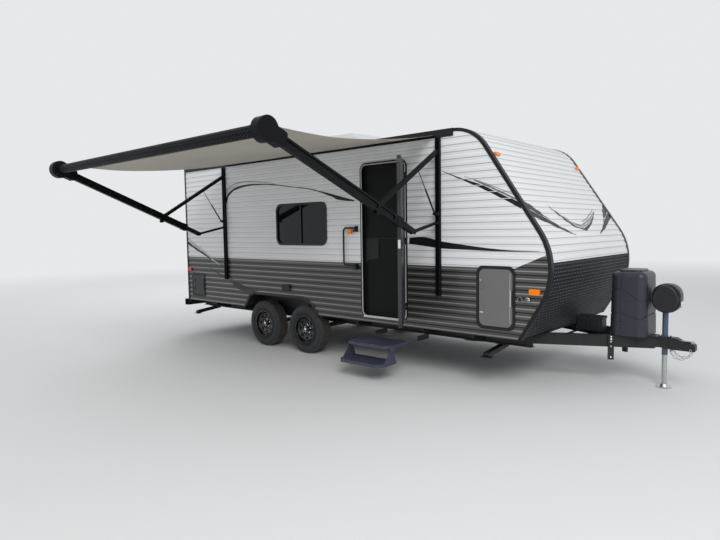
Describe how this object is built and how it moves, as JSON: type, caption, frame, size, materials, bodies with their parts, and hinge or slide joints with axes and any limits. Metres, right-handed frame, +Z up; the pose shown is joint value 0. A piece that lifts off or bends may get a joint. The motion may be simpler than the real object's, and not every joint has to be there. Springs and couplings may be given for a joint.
{
  "type": "travel caravan",
  "caption": "Travel caravan with a hollow ribbed cabin on a steel chassis, with turning wheels, swinging doors and hatches, folding step, stabilizers, awning and tongue jack.",
  "frame": {"origin": "on the ground, under the centre of the tongue jack's foot", "axes": "+X forward to the hitch, +Y to the left (street) side, +Z up; the entry door is on the -Y side"},
  "size_m": [7.528, 4.997, 3.11],
  "materials": {
    "chassis_black": "satin black paint",
    "floor_wood": "plain plywood",
    "wheel_well_black": "moulded, matt",
    "wall_panel": "pale wall board",
    "roof_white": "matt roof membrane",
    "siding_white": "satin enamel",
    "siding_charcoal": "satin enamel",
    "tread_plate_black": "black tread plate",
    "trim_black": "satin black",
    "frame_black": "smooth black",
    "window_dark": "tinted glass",
    "axle_black": "black paint",
    "spring_steel": "dark spring steel",
    "tyre_black": "black rubber",
    "wheel_black": "gloss black paint",
    "cover_slate": "moulded, satin",
    "box_black": "moulded, matt",
    "jack_blue": "blue-grey paint",
    "jack_head_black": "moulded, satin",
    "zinc": "zinc plated",
    "awning_black": "textured black",
    "strut_silver": "bright rod",
    "awning_taupe": "woven vinyl",
    "shroud_white": "moulded white",
    "lamp_amber": "amber lens",
    "lamp_red": "red lens",
    "door_grey": "satin paint",
    "screen_dark": "dark mesh in a thin frame",
    "step_grey_blue": "dark grip coating",
    "handle_black": "soft black grip"
  },
  "bodies": {
    "caravan": {"main_rails": "chassis_black", "cross_members": "chassis_black", "aframe_rails": "chassis_black", "rail_brackets": "chassis_black", "coupler": "chassis_black", "rear_bumper": "chassis_black", "floor_deck": "floor_wood", "wheel_wells": "wheel_well_black", "side_wall_right": "wall_panel", "side_wall_left": "wall_panel", "rear_wall": "wall_panel", "front_wall": "wall_panel", "roof_deck": "roof_white", "siding_white": "siding_white", "siding_dark": "siding_charcoal", "rock_guard": "tread_plate_black", "edge_trim": "trim_black", "roof_rails": "siding_white", "window_frames": "frame_black", "window_glass": "window_dark", "door_frames": "frame_black", "axles": "axle_black", "leaf_springs": "spring_steel", "propane_cover": "cover_slate", "battery_box": "box_black", "jack_post": "jack_blue", "jack_head": "jack_head_black", "safety_chains": "zinc", "awning_rails": "awning_black", "awning_arms": "awning_black", "awning_struts": "strut_silver", "awning_roller": "awning_black", "awning_fabric": "awning_taupe", "air_conditioner": "shroud_white", "vent_base": "shroud_white", "amber_lamps": "lamp_amber", "red_lamps": "lamp_red", "utility_fittings": "shroud_white"},
    "rear_left_wheel": {"tyre_rear_left": "tyre_black", "wheel_rear_left": "wheel_black"},
    "rear_right_wheel": {"tyre_rear_right": "tyre_black", "wheel_rear_right": "wheel_black"},
    "front_left_wheel": {"tyre_front_left": "tyre_black", "wheel_front_left": "wheel_black"},
    "front_right_wheel": {"tyre_front_right": "tyre_black", "wheel_front_right": "wheel_black"},
    "outer_door": {"entry_door": "door_grey"},
    "screen_leaf": {"screen_door": "screen_dark"},
    "right_baggage_door": {"baggage_door_right": "siding_charcoal"},
    "left_baggage_door": {"baggage_door_left": "siding_charcoal"},
    "hatch_leaf": {"rear_hatch": "trim_black"},
    "lifting_leg": {"jack_leg": "zinc"},
    "upper_step": {"step_upper": "step_grey_blue"},
    "lower_step": {"step_lower": "step_grey_blue"},
    "roof_vent_lid": {"vent_lid": "shroud_white"},
    "folding_handle": {"grab_handle": "handle_black"},
    "rear_left_stabilizer": {"stabilizer_rear_left": "chassis_black"},
    "rear_right_stabilizer": {"stabilizer_rear_right": "chassis_black"},
    "front_left_stabilizer": {"stabilizer_front_left": "chassis_black"},
    "front_right_stabilizer": {"stabilizer_front_right": "chassis_black"}
  },
  "joints": [
    {"name": "rear_left_wheel_turn", "type": "hinge", "parent": "caravan", "child": "rear_left_wheel", "pos_m": [-5.118, 1.0975, 0.3315], "axis": [0, 1, 0], "continuous": true},
    {"name": "rear_right_wheel_turn", "type": "hinge", "parent": "caravan", "child": "rear_right_wheel", "pos_m": [-5.118, -1.0975, 0.3315], "axis": [0, 1, 0], "continuous": true},
    {"name": "front_left_wheel_turn", "type": "hinge", "parent": "caravan", "child": "front_left_wheel", "pos_m": [-4.243, 1.0975, 0.3315], "axis": [0, 1, 0], "continuous": true},
    {"name": "front_right_wheel_turn", "type": "hinge", "parent": "caravan", "child": "front_right_wheel", "pos_m": [-4.243, -1.0975, 0.3315], "axis": [0, 1, 0], "continuous": true},
    {"name": "entry_door_hinge", "type": "hinge", "parent": "caravan", "child": "outer_door", "pos_m": [-2.462, -1.236, 1.56], "axis": [0, 0, 1], "range_deg": [-124, 0]},
    {"name": "screen_door_hinge", "type": "hinge", "parent": "caravan", "child": "screen_leaf", "pos_m": [-2.462, -1.236, 1.56], "axis": [0, 0, 1], "range_deg": [0, 110]},
    {"name": "baggage_door_right_hinge", "type": "hinge", "parent": "caravan", "child": "right_baggage_door", "pos_m": [-1.1248, -1.229, 0.976], "axis": [0, 0, 1], "range_deg": [0, 120]},
    {"name": "baggage_door_left_hinge", "type": "hinge", "parent": "caravan", "child": "left_baggage_door", "pos_m": [-1.1248, 1.229, 0.976], "axis": [0, 0, -1], "range_deg": [0, 120]},
    {"name": "rear_hatch_hinge", "type": "hinge", "parent": "caravan", "child": "hatch_leaf", "pos_m": [-6.6078, -1.229, 0.825], "axis": [0, 0, 1], "range_deg": [0, 120]},
    {"name": "jack_lift", "type": "slide", "parent": "caravan", "child": "lifting_leg", "axis": [0, 0, 1], "range_m": [0, 0.25]},
    {"name": "rear_left_stabilizer_hinge", "type": "hinge", "parent": "caravan", "child": "rear_left_stabilizer", "pos_m": [-6.85, 0.8, 0.404], "axis": [-1, 0, 0], "range_deg": [0, 50]},
    {"name": "rear_right_stabilizer_hinge", "type": "hinge", "parent": "caravan", "child": "rear_right_stabilizer", "pos_m": [-6.85, -0.8, 0.404], "axis": [1, 0, 0], "range_deg": [0, 50]},
    {"name": "front_left_stabilizer_hinge", "type": "hinge", "parent": "caravan", "child": "front_left_stabilizer", "pos_m": [-1.427, 0.8, 0.404], "axis": [-1, 0, 0], "range_deg": [0, 50]},
    {"name": "front_right_stabilizer_hinge", "type": "hinge", "parent": "caravan", "child": "front_right_stabilizer", "pos_m": [-1.427, -0.8, 0.404], "axis": [1, 0, 0], "range_deg": [0, 50]},
    {"name": "step_slide", "type": "slide", "parent": "caravan", "child": "upper_step", "axis": [0, 1, 0], "range_m": [0, 0.35]},
    {"name": "step_fold", "type": "hinge", "parent": "upper_step", "child": "lower_step", "pos_m": [-2.72, -1.565, 0.34], "axis": [-1, 0, 0], "range_deg": [0, 180]},
    {"name": "vent_lid_hinge", "type": "hinge", "parent": "caravan", "child": "roof_vent_lid", "pos_m": [-3.256, 0, 2.834], "axis": [0, -1, 0], "range_deg": [0, 70]},
    {"name": "grab_handle_hinge", "type": "hinge", "parent": "caravan", "child": "folding_handle", "pos_m": [-3.222, -1.249, 1.49], "axis": [0, 0, 1], "range_deg": [0, 90]}
  ]
}
